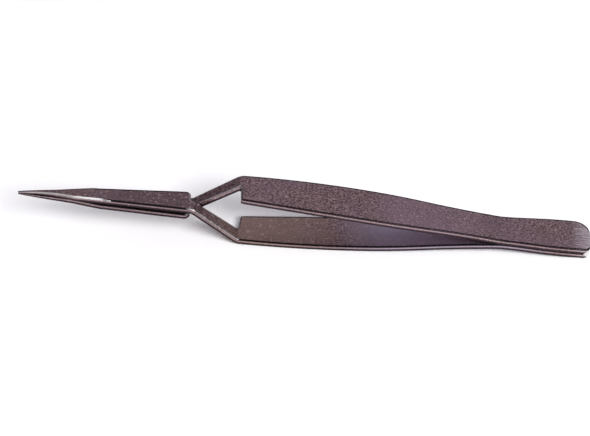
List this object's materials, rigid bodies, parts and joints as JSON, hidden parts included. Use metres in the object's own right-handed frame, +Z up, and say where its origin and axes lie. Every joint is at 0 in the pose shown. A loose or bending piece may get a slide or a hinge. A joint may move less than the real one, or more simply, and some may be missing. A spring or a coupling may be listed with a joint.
{
  "type": "reverse action tweezers",
  "caption": "Cross-locking steel tweezers: crossed spring arms welded at the heel hold the fine tips shut until the handles are squeezed.",
  "frame": {"origin": "middle of the bounding box's bottom face, on the table the tweezers lie on", "axes": "X along the tool with the heel towards +X and the tips towards -X, Z up, and the leg that belongs to the upper handle on the +Y side"},
  "size_m": [0.1596, 0.0108, 0.0195],
  "materials": {
    "spring_steel": "satin grey-brown steel with a fine lengthwise grain, bright where the point is ground",
    "ground_weld": "bright ground weld metal"
  },
  "bodies": {
    "root": {"upper_arm": "spring_steel", "lower_arm": "spring_steel", "heel_weld": "ground_weld"}
  },
  "joints": []
}
